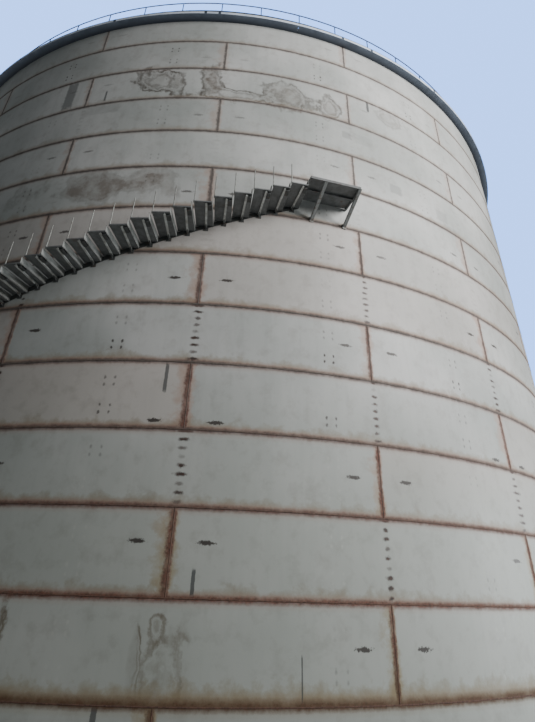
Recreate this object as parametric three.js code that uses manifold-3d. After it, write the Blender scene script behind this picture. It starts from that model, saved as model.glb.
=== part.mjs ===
// Vertical storage tank of welded steel plate, with a stair of cantilevered treads that
// climbs the shell to a landing, and a rim girder and handrail round the roof.
// Millimetres, +Z up. The origin is on the tank axis at the underside of the bottom plate.
// Angles are in degrees round +Z: 0 is the -Y side and 90 is the +X side.
import * as THREE from "three";
import { mergeVertices } from "three/addons/utils/BufferGeometryUtils.js";
import Module from "manifold-3d";

// Shell: ten plates of 9 m close one course
const COURSE_COUNT = 14;
const COURSE_HEIGHT = 1500;
const PLATE_LENGTH = 9000;
const PLATES_PER_COURSE = 10;
const SHELL_RADIUS = (PLATES_PER_COURSE * PLATE_LENGTH) / (2 * Math.PI);
const SHELL_TOP = COURSE_COUNT * COURSE_HEIGHT;
const LOWEST_COURSE_THICKNESS = 20;
const HIGHEST_COURSE_THICKNESS = 8;

// The shell is drawn with flat facets, two under each stair flight
const FACET_ANGLE = 7.5;
const FACET_COUNT = 360 / FACET_ANGLE;

// Clearance between pieces that are seated on a facet or end against each other
const SEAT = 0.3;

// Pieces that are cut to the shell start this far inside it
const INNER_OVERCUT = 100;

// Bottom and roof
const BOTTOM_THICKNESS = 10;
const BOTTOM_PROJECTION = 60;
const ROOF_THICKNESS = 6;
const ROOF_SLOPE = 1 / 16;
const ROOF_EDGE_WIDTH = 100;

// Rim girder, an angle with one leg flat against the shell
const RIM_UNDERSIDE = 20700;
const RIM_PROJECTION = 320;
const RIM_PLATE = 10;
const RIM_LEG = 150;
const RIM_ARCS = 4;

// Toe plate that stands on the outer edge of the rim girder
const TOE_HEIGHT = 145;
const TOE_THICKNESS = 8;
const TOE_INSET = 4;

// Roof handrail, on the flat edge of the roof
const RAIL_ARCS = 10;
const RAIL_BAYS_PER_ARC = 6;
const RAIL_START_ANGLE = -0.9;
const RAIL_SETBACK = 60;
const RAIL_TOP_HEIGHT = 1000;
const RAIL_MID_HEIGHT = 500;
const RAIL_WIDTH = 44;
const POST_WIDTH = 40;
const POST_DEPTH = 30;

// Stair: 64 treads, the first one rise above the ground
const RISE = 193;
const TREAD_ANGLE = 1.875;
const TREAD_COUNT = 64;
const TREADS_PER_FLIGHT = 8;
const STAIR_WIDTH = 1050;
const TREAD_DEPTH = 455;
const TREAD_THICKNESS = 30;
const RISER_HEIGHT = 150;
const RISER_THICKNESS = 10;
const BRACKET_THICKNESS = 12;
const BRACKET_DROP = 70;
const BRACKET_FOOT_DROP = 190;
const BRACKET_HAUNCH = 240;
const BRACKET_OFFSET = 30;
const BRACKET_SKEW = 8;
const STRINGER_THICKNESS = 12;
const STRINGER_ABOVE = 20;
const STRINGER_BELOW = 120;
const STANCHION_HEIGHT = 680;
const STANCHION_WIDTH = 26;
const STANCHION_INSET = 30;

// Landing and its two knee braces
const LANDING_START_ANGLE = 7.6;
const LANDING_LENGTH = 1490;
const LANDING_WIDTH = 1030;
const LANDING_TOP = 12700;
const LANDING_PLATE = 8;
const LANDING_FRAME_DROP = 80;
const LANDING_FRAME_THICKNESS = 10;
const BRACE_WIDTH = 90;
const BRACE_DEPTH = 70;
const BRACE_FOOT_HEIGHT = 12030;
const BRACE_LEFT = -405;
const BRACE_RIGHT = 605;
const BRACE_REACH = 1010;
const BRACE_SKEW = 4;

const COLOURS = {
  shell: 0xb4b7b0,
  bottom: 0x6b6f6a,
  roof: 0xa7aaa4,
  rim: 0x3f474a,
  toe: 0xc9cec9,
  rail: 0x4c5870,
  stair: 0x3e413e,
  brace: 0x5d5f58,
};

const degrees = THREE.MathUtils.degToRad;
const { Manifold, Mesh } = await startManifold();

async function startManifold() {
  const wasm = await Module();
  wasm.setup();
  return wasm;
}

// Closed solids for joining and cutting
function solidFrom(geometry) {
  const bare = geometry.clone();
  bare.deleteAttribute("normal");
  bare.deleteAttribute("uv");
  const merged = mergeVertices(bare, 0.001);
  return new Manifold(new Mesh({
    numProp: 3,
    vertProperties: new Float32Array(merged.attributes.position.array),
    triVerts: new Uint32Array(merged.index.array),
  }));
}

function geometryFrom(solid) {
  const { vertProperties, triVerts } = solid.getMesh();
  const geometry = new THREE.BufferGeometry();
  geometry.setAttribute("position", new THREE.BufferAttribute(vertProperties, 3));
  geometry.setIndex(new THREE.BufferAttribute(triVerts, 1));
  geometry.computeVertexNormals();
  return geometry;
}

function joined(solids) {
  return solids.reduce((whole, solid) => whole.add(solid));
}

// An outline is a list of [radius, height] points
function outlinePoints(outline) {
  return outline.map(([radius, height]) => new THREE.Vector2(radius, height));
}

// A disc or cone round the tank axis, from an outline that starts and ends on the axis
function discGeometry(outline) {
  const start = degrees(LANDING_START_ANGLE);
  const disc = new THREE.LatheGeometry(outlinePoints(outline), FACET_COUNT, start, 2 * Math.PI);
  return disc.rotateX(Math.PI / 2);
}

// A ring round the tank axis
function ringGeometry(outline) {
  return discGeometry([...outline, outline[0]]);
}

// Part of a ring between two angles, with flat ends, which may climb as it goes round
function arcGeometry(outline, startAngle, endAngle, steps, climb = 0) {
  const points = outlinePoints([...outline, outline[0]]);
  const start = degrees(startAngle);
  const length = degrees(endAngle - startAngle);
  const body = new THREE.LatheGeometry(points, steps, start, length);
  const lastSection = steps * points.length;
  const ends = THREE.ShapeUtils.triangulateShape(points.slice(0, -1), []).flatMap(([a, b, c]) => [
    a, b, c,
    lastSection + a, lastSection + c, lastSection + b,
  ]);
  body.setIndex([...body.index.array, ...ends]);
  const position = body.attributes.position;
  for (let i = 0; i < position.count; i += 1) {
    const section = Math.floor(i / points.length);
    position.setY(i, position.getY(i) + (climb * section) / steps);
  }
  return body.rotateX(Math.PI / 2);
}

// A box given by its span along the radius, its width round the tank and its height
function radialBox(angle, [innerRadius, outerRadius], [left, right], [bottom, top]) {
  const box = new THREE.BoxGeometry(right - left, outerRadius - innerRadius, top - bottom);
  box.translate((left + right) / 2, -(innerRadius + outerRadius) / 2, (bottom + top) / 2);
  return box.rotateZ(degrees(angle));
}

// A plate that stands upright in a radial plane, or turned out of it by a skew angle
// about its foot on the shell
function radialPlate(angle, outline, left, thickness, skew = 0) {
  const shape = new THREE.Shape(outlinePoints(outline));
  const plate = new THREE.ExtrudeGeometry(shape, { depth: thickness, bevelEnabled: false });
  plate.rotateX(Math.PI / 2).rotateZ(-Math.PI / 2);
  plate.translate(0, SHELL_RADIUS, 0).rotateZ(degrees(skew)).translate(0, -SHELL_RADIUS, 0);
  return plate.translate(left + thickness, 0, 0).rotateZ(degrees(angle));
}

// The space that the shell and the bottom plate take up, with the seat clearance added
function shellSpace() {
  const radius = SHELL_RADIUS + SEAT;
  return solidFrom(discGeometry([[0, 0], [radius, 0], [radius, SHELL_TOP], [0, SHELL_TOP]]));
}

function bottomSpace() {
  const radius = SHELL_RADIUS + 2 * STAIR_WIDTH;
  const top = BOTTOM_THICKNESS + SEAT;
  return solidFrom(discGeometry([[0, -COURSE_HEIGHT], [radius, -COURSE_HEIGHT], [radius, top], [0, top]]));
}

const tank = new THREE.Group();

function addPiece(name, geometry, colour, roughness = 0.7, metalness = 0.1) {
  const material = new THREE.MeshStandardMaterial({ color: colour, roughness, metalness });
  const mesh = new THREE.Mesh(geometry, material);
  mesh.name = name;
  tank.add(mesh);
}

// Shell courses, thinner towards the top, flush on the outside
function courseThickness(course) {
  const step = (LOWEST_COURSE_THICKNESS - HIGHEST_COURSE_THICKNESS) / (COURSE_COUNT - 1);
  return LOWEST_COURSE_THICKNESS - step * course;
}

function addShellCourses() {
  for (let course = 0; course < COURSE_COUNT; course += 1) {
    const bottom = Math.max(course * COURSE_HEIGHT, BOTTOM_THICKNESS);
    const top = (course + 1) * COURSE_HEIGHT;
    const inner = SHELL_RADIUS - courseThickness(course);
    const outline = [[inner, bottom], [SHELL_RADIUS, bottom], [SHELL_RADIUS, top], [inner, top]];
    const number = String(course + 1).padStart(2, "0");
    addPiece(`shell_course_${number}`, ringGeometry(outline), COLOURS.shell);
  }
}

// Flat bottom plate, which projects a little beyond the shell
function addBottomPlate() {
  const radius = SHELL_RADIUS + BOTTOM_PROJECTION;
  const outline = [[0, 0], [radius, 0], [radius, BOTTOM_THICKNESS], [0, BOTTOM_THICKNESS]];
  addPiece("bottom_plate", discGeometry(outline), COLOURS.bottom);
}

// Shallow cone roof with a flat edge on top of the shell
function addRoof() {
  const coneRadius = SHELL_RADIUS - ROOF_EDGE_WIDTH;
  const apex = SHELL_TOP + coneRadius * ROOF_SLOPE;
  const outline = [
    [0, apex],
    [coneRadius, SHELL_TOP],
    [SHELL_RADIUS, SHELL_TOP],
    [SHELL_RADIUS, SHELL_TOP + ROOF_THICKNESS],
    [coneRadius, SHELL_TOP + ROOF_THICKNESS],
    [0, apex + ROOF_THICKNESS],
  ];
  addPiece("roof_deck", discGeometry(outline), COLOURS.roof);
}

// Rim girder: a broad flat leg that projects, and a leg up the shell
function addRimGirder() {
  const innerRadius = SHELL_RADIUS + SEAT;
  const outerRadius = SHELL_RADIUS + RIM_PROJECTION;
  const legRadius = innerRadius + RIM_PLATE;
  const plateTop = RIM_UNDERSIDE + RIM_PLATE;
  const legTop = RIM_UNDERSIDE + RIM_LEG;
  const outline = [
    [innerRadius, RIM_UNDERSIDE],
    [outerRadius, RIM_UNDERSIDE],
    [outerRadius, plateTop],
    [legRadius, plateTop],
    [legRadius, legTop],
    [innerRadius, legTop],
  ];
  const toeOuter = outerRadius - TOE_INSET;
  const toeInner = toeOuter - TOE_THICKNESS;
  const toeBottom = plateTop + SEAT;
  const toeTop = plateTop + TOE_HEIGHT;
  const toeOutline = [[toeInner, toeBottom], [toeOuter, toeBottom], [toeOuter, toeTop], [toeInner, toeTop]];
  const arc = 360 / RIM_ARCS;
  const gap = endGap(outerRadius);
  for (let i = 0; i < RIM_ARCS; i += 1) {
    const start = LANDING_START_ANGLE + i * arc + gap;
    const end = LANDING_START_ANGLE + (i + 1) * arc - gap;
    const steps = arc / FACET_ANGLE;
    addPiece(`rim_girder_${i + 1}`, arcGeometry(outline, start, end, steps), COLOURS.rim);
    addPiece(`rim_toe_plate_${i + 1}`, arcGeometry(toeOutline, start, end, steps), COLOURS.toe);
  }
}

// Half of the seat clearance at a radius, as an angle in degrees
function endGap(radius) {
  return THREE.MathUtils.radToDeg(SEAT / 2 / radius);
}

// Handrail round the roof: a top rail and a middle rail on posts, one post in each bay
function addRoofHandrail() {
  const radius = SHELL_RADIUS - RAIL_SETBACK;
  const roofEdge = SHELL_TOP + ROOF_THICKNESS;
  const bayAngle = 360 / (RAIL_ARCS * RAIL_BAYS_PER_ARC);
  const postRadius = radius * Math.cos(degrees(bayAngle / 2));
  const half = RAIL_WIDTH / 2;
  const gap = endGap(radius);
  const railAt = (height, start, end) => {
    const middle = roofEdge + height;
    const outline = [
      [radius - half, middle - half],
      [radius + half, middle - half],
      [radius + half, middle + half],
      [radius - half, middle + half],
    ];
    return solidFrom(arcGeometry(outline, start, end, RAIL_BAYS_PER_ARC));
  };
  for (let arc = 0; arc < RAIL_ARCS; arc += 1) {
    const first = RAIL_START_ANGLE + arc * RAIL_BAYS_PER_ARC * bayAngle;
    const last = first + RAIL_BAYS_PER_ARC * bayAngle;
    const heights = [RAIL_TOP_HEIGHT, RAIL_MID_HEIGHT];
    const solids = heights.map((height) => railAt(height, first + gap, last - gap));
    for (let bay = 0; bay < RAIL_BAYS_PER_ARC; bay += 1) {
      const angle = first + (bay + 0.5) * bayAngle;
      const span = [postRadius - POST_DEPTH / 2, postRadius + POST_DEPTH / 2];
      const height = [roofEdge + SEAT, roofEdge + RAIL_TOP_HEIGHT];
      solids.push(solidFrom(radialBox(angle, span, [-POST_WIDTH / 2, POST_WIDTH / 2], height)));
    }
    addPiece(`roof_handrail_${arc + 1}`, geometryFrom(joined(solids)), COLOURS.rail, 0.5, 0.4);
  }
}

// One tread: a pan with a riser up its back edge, a cantilever bracket with a deep foot at
// the shell, and a stanchion at the lower outer corner
function treadSolids(angle, top) {
  const inner = SHELL_RADIUS - INNER_OVERCUT;
  const outer = SHELL_RADIUS + STAIR_WIDTH;
  const half = TREAD_DEPTH / 2;
  const bracketTop = top - TREAD_THICKNESS / 2;
  const bracketOuter = outer - STANCHION_INSET;
  const bracketOutline = [
    [inner, top - BRACKET_FOOT_DROP],
    [SHELL_RADIUS + STRINGER_THICKNESS, top - BRACKET_FOOT_DROP],
    [SHELL_RADIUS + BRACKET_HAUNCH, top - BRACKET_DROP],
    [bracketOuter, top - BRACKET_DROP],
    [bracketOuter, bracketTop],
    [inner, bracketTop],
  ];
  const stanchionSpan = [outer - STANCHION_INSET - STANCHION_WIDTH, outer - STANCHION_INSET];
  const stanchionSides = [-half - STANCHION_WIDTH / 2, -half + STANCHION_WIDTH / 2];
  const riserSides = [half - RISER_THICKNESS, half];
  return [
    radialBox(angle, [inner, outer], [-half, half], [top - TREAD_THICKNESS, top]),
    radialBox(angle, [inner, outer], riserSides, [bracketTop, top + RISER_HEIGHT]),
    radialPlate(angle, bracketOutline, BRACKET_OFFSET, BRACKET_THICKNESS, BRACKET_SKEW),
    radialBox(angle, stanchionSpan, stanchionSides, [bracketTop, top + STANCHION_HEIGHT]),
  ].map(solidFrom);
}

// The stringer is a flat bar on the shell that climbs under the inner ends of the treads
function stringerSolid(startAngle, endAngle) {
  const inner = SHELL_RADIUS + SEAT;
  const outer = inner + STRINGER_THICKNESS;
  const gap = endGap(SHELL_RADIUS);
  const stepsBelowEnd = (LANDING_START_ANGLE - startAngle) / TREAD_ANGLE;
  const climb = ((endAngle - startAngle) / TREAD_ANGLE) * RISE;
  const middle = (TREAD_COUNT - stepsBelowEnd + 0.5) * RISE;
  const outline = [
    [inner, middle - STRINGER_BELOW],
    [outer, middle - STRINGER_BELOW],
    [outer, middle + STRINGER_ABOVE],
    [inner, middle + STRINGER_ABOVE],
  ];
  const steps = Math.round((endAngle - startAngle) / FACET_ANGLE);
  return solidFrom(arcGeometry(outline, startAngle + gap, endAngle - gap, steps, climb));
}

function addStair(wall, ground) {
  const flightCount = TREAD_COUNT / TREADS_PER_FLIGHT;
  const flightAngle = TREAD_ANGLE * TREADS_PER_FLIGHT;
  for (let flight = 0; flight < flightCount; flight += 1) {
    const end = LANDING_START_ANGLE - (flightCount - 1 - flight) * flightAngle;
    const solids = [];
    for (let step = 0; step < TREADS_PER_FLIGHT; step += 1) {
      const angle = end - (TREADS_PER_FLIGHT - step - 0.5) * TREAD_ANGLE;
      const top = (flight * TREADS_PER_FLIGHT + step + 1) * RISE;
      solids.push(...treadSolids(angle, top));
    }
    const treads = joined(solids).subtract(wall);
    const whole = treads.add(stringerSolid(end - flightAngle, end)).subtract(ground);
    addPiece(`stair_flight_${flight + 1}`, geometryFrom(whole), COLOURS.stair, 0.6, 0.3);
  }
}

// Landing: a plate on an edge frame with a cross member, carried by two knee braces
function addLanding(wall) {
  const inner = SHELL_RADIUS - INNER_OVERCUT;
  const outer = SHELL_RADIUS + LANDING_WIDTH;
  const lengthAngle = THREE.MathUtils.radToDeg(LANDING_LENGTH / SHELL_RADIUS);
  const middleAngle = LANDING_START_ANGLE + lengthAngle / 2 + endGap(SHELL_RADIUS) * 2;
  const half = LANDING_LENGTH / 2;
  const frameBottom = LANDING_TOP - LANDING_FRAME_DROP;
  const frame = [frameBottom, LANDING_TOP];
  const bar = LANDING_FRAME_THICKNESS;
  const middleRadius = SHELL_RADIUS + LANDING_WIDTH / 2;
  const deck = [
    radialBox(middleAngle, [inner, outer], [-half, half], [LANDING_TOP - LANDING_PLATE, LANDING_TOP]),
    radialBox(middleAngle, [inner, outer], [-half, -half + bar], frame),
    radialBox(middleAngle, [inner, outer], [half - bar, half], frame),
    radialBox(middleAngle, [outer - bar, outer], [-half, half], frame),
    radialBox(middleAngle, [middleRadius, middleRadius + bar], [-half, half], frame),
  ].map(solidFrom);
  addPiece("landing_deck", geometryFrom(joined(deck).subtract(wall)), COLOURS.stair, 0.6, 0.3);

  const braceTop = frameBottom - SEAT;
  const topRadius = SHELL_RADIUS + BRACE_REACH;
  const outline = [
    [inner, BRACE_FOOT_HEIGHT - BRACE_DEPTH],
    [SHELL_RADIUS, BRACE_FOOT_HEIGHT - BRACE_DEPTH],
    [topRadius, braceTop],
    [topRadius - BRACE_DEPTH, braceTop],
    [SHELL_RADIUS, BRACE_FOOT_HEIGHT + BRACE_DEPTH],
    [inner, BRACE_FOOT_HEIGHT + BRACE_DEPTH],
  ];
  for (const [side, left] of Object.entries({ left: BRACE_LEFT, right: BRACE_RIGHT })) {
    const brace = solidFrom(radialPlate(middleAngle, outline, left, BRACE_WIDTH, BRACE_SKEW));
    addPiece(`landing_brace_${side}`, geometryFrom(brace.subtract(wall)), COLOURS.brace);
  }
}

const wall = shellSpace();
addShellCourses();
addBottomPlate();
addRoof();
addRimGirder();
addRoofHandrail();
addStair(wall, bottomSpace());
addLanding(wall);

export default tank;
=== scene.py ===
import math

import bmesh
import bpy
from mathutils import Matrix, Vector


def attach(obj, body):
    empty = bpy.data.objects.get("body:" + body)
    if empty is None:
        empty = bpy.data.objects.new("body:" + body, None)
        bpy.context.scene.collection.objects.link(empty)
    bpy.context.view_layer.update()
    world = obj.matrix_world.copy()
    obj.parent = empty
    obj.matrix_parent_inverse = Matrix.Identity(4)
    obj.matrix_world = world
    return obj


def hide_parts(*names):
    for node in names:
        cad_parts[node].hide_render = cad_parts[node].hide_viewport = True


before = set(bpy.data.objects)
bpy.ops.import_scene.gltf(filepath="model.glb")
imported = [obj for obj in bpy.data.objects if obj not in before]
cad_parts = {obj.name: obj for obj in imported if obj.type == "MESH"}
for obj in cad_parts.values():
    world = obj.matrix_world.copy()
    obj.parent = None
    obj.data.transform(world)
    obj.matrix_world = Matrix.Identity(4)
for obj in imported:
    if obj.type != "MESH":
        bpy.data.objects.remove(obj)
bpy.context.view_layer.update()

# Camera. It stands 25.5 m in front of the tank axis, a little above the ground, and looks up
# past the landing, as the photograph does. The photograph's optical axis lies above its middle.
photo_height = 722
focal_length_pixels = 511.2
axis_above_middle_pixels = 100
camera_place = Vector((0.0, -25.506, 3.159))
camera_yaw = math.radians(5.35)
camera_pitch = math.radians(32.83)
camera_roll = math.radians(1.77)

camera_data = bpy.data.cameras.new("camera")
camera_data.sensor_fit = "VERTICAL"
camera_data.sensor_height = 36.0
camera_data.lens = camera_data.sensor_height * focal_length_pixels / photo_height
camera_data.shift_y = -axis_above_middle_pixels / photo_height
camera = bpy.data.objects.new("camera", camera_data)
bpy.context.scene.collection.objects.link(camera)
camera.matrix_world = (
    Matrix.Translation(camera_place)
    @ Matrix.Rotation(-camera_yaw, 4, "Z")
    @ Matrix.Rotation(math.pi / 2 + camera_pitch, 4, "X")
    @ Matrix.Rotation(camera_roll, 4, "Z")
)
bpy.context.scene.camera = camera


# Daylight. A pale sky fills from all sides. A broad soft key stands on the right, so that the shell
# brightens to the right, weak light bounced by the ground comes from low on the right, and a broad
# panel behind lights the far side and the roof.
def linear(hex_colour):
    """Turn an sRGB hex colour such as "#b4b7b0" into linear red, green, blue and alpha."""
    parts = [int(hex_colour[i:i + 2], 16) / 255 for i in (1, 3, 5)]
    return [c / 12.92 if c <= 0.04045 else ((c + 0.055) / 1.055) ** 2.4 for c in parts] + [1.0]


def fill(socket, value):
    """Link a socket to another node's output, or give it a hex colour or another value."""
    if isinstance(value, bpy.types.NodeSocket):
        tree.links.new(value, socket)
    else:
        socket.default_value = linear(value) if isinstance(value, str) else value


def node(kind, *values, output=None, **others):
    """Add a shader node to the tree in hand, and give its named output, or else its first.

    A kind in capitals is what a Math node does, and a second word is what another kind does.
    Values fill its inputs in their order, a name with a capital fills the input of that name, and
    any other name is a setting.
    """
    kind, _, task = ("Math " + kind if kind.isupper() else kind).partition(" ")
    made = tree.nodes.new("ShaderNode" + kind)
    if task:
        setattr(made, "data_type" if kind == "Mix" else "operation", task)
    for name, value in others.items():
        if name.islower():
            setattr(made, name, value)
    for socket, value in zip([socket for socket in made.inputs if socket.enabled], values):
        fill(socket, value)
    for name, value in others.items():
        if not name.islower():
            fill(made.inputs[name], value)
    first = next(socket for socket in made.outputs if socket.enabled)
    return made.outputs[output] if output else first


sky = bpy.data.worlds.new("pale_sky")
sky.use_nodes = True
tree = sky.node_tree
seen_sky = node("Background", "#80aeff", 3.2)
fill_sky = node("Background", "#dfe6ea", 0.15)
both_skies = node("MixShader", node("LightPath"), fill_sky, seen_sky)
fill(tree.nodes["World Output"].inputs["Surface"], both_skies)
bpy.context.scene.world = sky

# Each light's name, kind, place, aim, power in watts and colour, then its cone and its width
key_shape = {"spot_size": math.radians(80), "spot_blend": 1.0, "shadow_soft_size": 7.0}
bounce_shape = {"spot_size": math.radians(34), "spot_blend": 1.0, "shadow_soft_size": 3.0}
lights = (
    ("key", "SPOT", (23, -28.5, 21.5), (6, -13, 17), 50000, (1.0, 0.985, 0.965), key_shape),
    ("bounce", "SPOT", (46, -16.5, 6), (9.5, -10.5, 3.5), 46000, (0.94, 0.98, 1.0), bounce_shape),
    ("back", "AREA", (-8, 44, 38), (0, 10, 10), 36000, (1.0, 1.0, 1.0), {"size": 18.0}),
)
for name, kind, stand, aim, power, colour, shape in lights:
    light_data = bpy.data.lights.new(name, kind)
    light_data.energy = power
    light_data.color = colour
    for setting, value in shape.items():
        setattr(light_data, setting, value)
    light = bpy.data.objects.new(name, light_data)
    light_turn = (Vector(aim) - Vector(stand)).to_track_quat("-Z", "Y")
    light.matrix_world = Matrix.Translation(stand) @ light_turn.to_matrix().to_4x4()
    bpy.context.scene.collection.objects.link(light)


# Floor. A plain pale ground, far wider than the tank, that it stands on.
def begin_material(name):
    """Make a material, and take in hand its tree, its shader node and its object coordinates."""
    global tree, shader, place
    material = bpy.data.materials.new(name)
    material.use_nodes = True
    tree = material.node_tree
    shader = tree.nodes["Principled BSDF"]
    place = node("TexCoord", output="Object")
    return material


def finish(colour, roughness, relief=None, strength=0.0, depth=0.0, metallic=0.0, **under):
    """Give the surface in hand its colour, roughness and metal, and the relief of a pattern."""
    for name, value in (("Base Color", colour), ("Roughness", roughness), ("Metallic", metallic)):
        fill(shader.inputs[name], value)
    if relief:
        bump = node("Bump", Height=relief, Strength=strength, Distance=depth, **under)
        fill(shader.inputs["Normal"], bump)


def only(*pieces):
    """Leave edit mode, and select these pieces and nothing else."""
    if bpy.context.object and bpy.context.object.mode == "EDIT":
        bpy.ops.object.mode_set(mode="OBJECT")
    bpy.ops.object.select_all(action="DESELECT")
    for piece in pieces:
        piece.select_set(True)
        bpy.context.view_layer.objects.active = piece


# Pale, even and without shine, so that it shows nothing but the tank's shadow
floor_paint = begin_material("pale_floor")
finish("#d9dad8", 0.9)
only()
bpy.ops.mesh.primitive_plane_add(size=400, location=(0, 0, -0.004))
floor = bpy.context.object
floor.name = "floor"
floor.data.materials.append(floor_paint)

# Shell courses. Fourteen courses of carbon steel plate, 1.5 m high, rolled to the tank's radius
# and butt welded on site, ten plates to a course. Each course is staggered half a plate from the
# next, and the plates are thinner towards the top and flush on the outside.
course_height = 1.5
course_count = 14
plate_length = 9.0
plates_per_course = 10
shell_radius = plates_per_course * plate_length / (2 * math.pi)
lowest_thickness = 0.020
highest_thickness = 0.008
bottom_thickness = 0.010
weld_shrinkage = 0.004
even_seam_turn = -2.5
odd_seam_turn = 15.1
seam_step = 360 / plates_per_course
shell_sides = 360


def settle():
    """Put the place, turn and size of the piece in hand into its mesh."""
    bpy.ops.object.transform_apply(location=True, rotation=True, scale=True)


def named(name):
    """Name the piece in hand and its mesh, and give it."""
    made = bpy.context.object
    made.name = made.data.name = name
    return made


def begin(name):
    """Name the primitive just added, put its place into its mesh and open it for editing."""
    made = named(name)
    settle()
    bpy.ops.object.mode_set(mode="EDIT")
    return made


def add_round(name, sides, radius, low, high, reach=0.0, along=0.0, ends="NGON"):
    """Add an upright cylinder between two heights, at a reach out from the tank axis."""
    only()
    bpy.ops.mesh.primitive_cylinder_add(
        vertices=sides, radius=radius, depth=high - low, end_fill_type=ends,
        location=(along, -reach, (low + high) / 2),
    )
    return begin(name)


def pick(kind, test):
    """In edit mode, select just the vertices, edges or faces whose middle passes the test."""
    bpy.ops.mesh.select_mode(type=kind)
    bpy.ops.mesh.select_all(action="DESELECT")
    open_mesh = bmesh.from_edit_mesh(bpy.context.edit_object.data)
    parts = {"VERT": open_mesh.verts, "EDGE": open_mesh.edges, "FACE": open_mesh.faces}[kind]
    for part in parts:
        corners = [part.co] if kind == "VERT" else [corner.co for corner in part.verts]
        if test(sum(corners, Vector()) / len(corners), part):
            part.select_set(True)
    open_mesh.select_flush_mode()
    bmesh.update_edit_mesh(bpy.context.edit_object.data)


def is_upright(middle, edge):
    """Whether an edge runs from the bottom to the top of a course."""
    return abs(edge.verts[0].co.z - edge.verts[1].co.z) > 1


def modify(piece, kind, **settings):
    """Add a modifier to a piece and apply it."""
    only(piece)
    modifier = piece.modifiers.new(kind.lower(), kind)
    for name, value in settings.items():
        setattr(modifier, name, value)
    bpy.ops.object.modifier_apply(modifier=modifier.name)


def dress(piece, material, slot, *nodes, smooth_angle=35):
    """Give a finished piece its material and the nodes that it stands for. Its slot is not used."""
    only(piece)
    bpy.ops.object.shade_smooth_by_angle(angle=math.radians(smooth_angle))
    piece.data.materials.clear()
    piece.data.materials.append(material)
    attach(piece, "root")
    if nodes:
        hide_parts(*nodes)


def seam_turn(course):
    """The turn of one upright seam in a course, counted from 0 at the ground."""
    return odd_seam_turn if course % 2 else even_seam_turn


# The shell's finish: a pale grey-green shop primer, sprayed thin on blasted plate, that has
# weathered unevenly. It stops short of every weld, where the bare strip has rusted red-brown and
# has bled into the primer. Welding aids, cut off and ground back, left rows of rusty marks.
primer_light, primer_dark, primer_grey = "#cacbca", "#adb1af", "#8c918f"
primer_pink, low_painted_shade = "#c3b5ae", "#abb1a9"
rust_red, rust_dark, rust_grey, rust_olive = "#7c5246", "#543b33", "#585553", "#5b4631"
bleed_olive, bleed_orange, bleed_cream = "#8c7e64", "#ab8c80", "#a09376"
bleed_pink, bleed_khaki = "#b39a8d", "#8f7f58"
scar_dark, lug_pale, strip_slate = "#3f3936", "#d9dad4", "#474a4b"
stain_brown, tide_brown, tide_grey = "#6e6258", "#61533c", "#625e59"

shell_paint = begin_material("weathered_shop_primer_on_steel_plate")
x, y, height = node("SeparateXYZ", place).node.outputs
turn = node("DEGREES", node("ARCTAN2", x, node("MULTIPLY", y, -1)))

# Noises: clouds of 3 m and mottle of 330 mm in the paint, rust edges ragged every 110 mm with
# crumbs of 45 mm, and streaks 200 mm wide that run down the plates. Each is given where it is read,
# how often it repeats in a metre, its detail and its roughness.
mottle_broad = node("TexNoise", place, 0.35, 4)
mottle_fine = node("TexNoise", place, 3, 6, 0.65)
ragged = node("TexNoise", place, 9, 5, 0.75)
crumbs = node("TexNoise", place, 22, 4, 0.7)
streaks = node("TexNoise", node("Mapping", place, Scale=(5, 5, 0.45)), 1, 5, 0.65)
ragged_metres = node("MULTIPLY_ADD", ragged, 0.12, -0.06)


def whole_and_part(value):
    """Split a value into its whole steps and what is left of a step."""
    return node("FLOOR", value), node("FRACT", value)


def away_from(value, middle):
    """How far a value is from a middle, to either side."""
    return node("ABSOLUTE", node("SUBTRACT", value, middle))


def ragged_mark(distance, noise, raggedness, full, gone, strength=1.0):
    """A mark with a ragged edge: at full strength up to one distance, and gone at another."""
    ragged_distance = node("MULTIPLY_ADD", noise, raggedness, distance)
    return node("MapRange", ragged_distance, full, gone, strength, 0)


# Where a point lies in its course and in its plate
courses_up = node("DIVIDE", height, course_height)
course, rise_share = whole_and_part(courses_up)
odd = node("MODULO", course, 2)
above_seam = node("MULTIPLY", rise_share, course_height)
below_seam = node("SUBTRACT", course_height, above_seam)
odd_shift = node("MULTIPLY_ADD", odd, even_seam_turn - odd_seam_turn, -even_seam_turn)
plates_round = node("DIVIDE", node("ADD", turn, odd_shift), seam_step)
plate, plate_share = whole_and_part(plates_round)
right_of_seam = node("MULTIPLY", plate_share, plate_length)
left_of_seam = node("SUBTRACT", plate_length, right_of_seam)
plate_id = node("CombineXYZ", plate, course)
plate_noise, plate_tint = node("TexWhiteNoise", plate_id, noise_dimensions="2D").node.outputs

# What differs from course to course, from the ground up: the height of the clamp marks, in course
# heights, and how strong the ladder scars and the lug marks are
course_marks = (
    (0.53, 0.0, 0.3), (0.53, 0.0, 0.25), (0.60, 1.0, 0.25), (0.51, 1.0, 0.3), (0.11, 1.0, 0.6),
    (0.55, 1.0, 0.8), (0.48, 1.0, 0.35), (0.52, 0.12, 0.6), (0.37, 0.15, 0.35), (0.55, 0.1, 0.3),
    (0.47, 0.15, 0.4), (0.63, 0.1, 0.3), (0.4, 0.0, 0.75), (0.5, 0.0, 0.1),
)
course_share = node("DIVIDE", node("ADD", course, 0.5), course_count)
marks_ramp = node("ValToRGB", course_share)
ramp = marks_ramp.node.color_ramp
ramp.interpolation = "CONSTANT"
for number, marks in enumerate(course_marks):
    step = ramp.elements[0] if number == 0 else ramp.elements.new(number / course_count)
    step.color = (*marks, 1.0)
ramp.elements.remove(ramp.elements[len(course_marks)])
dash_height, ladder_amount, lug_amount = node("SeparateColor", marks_ramp).node.outputs

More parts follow.
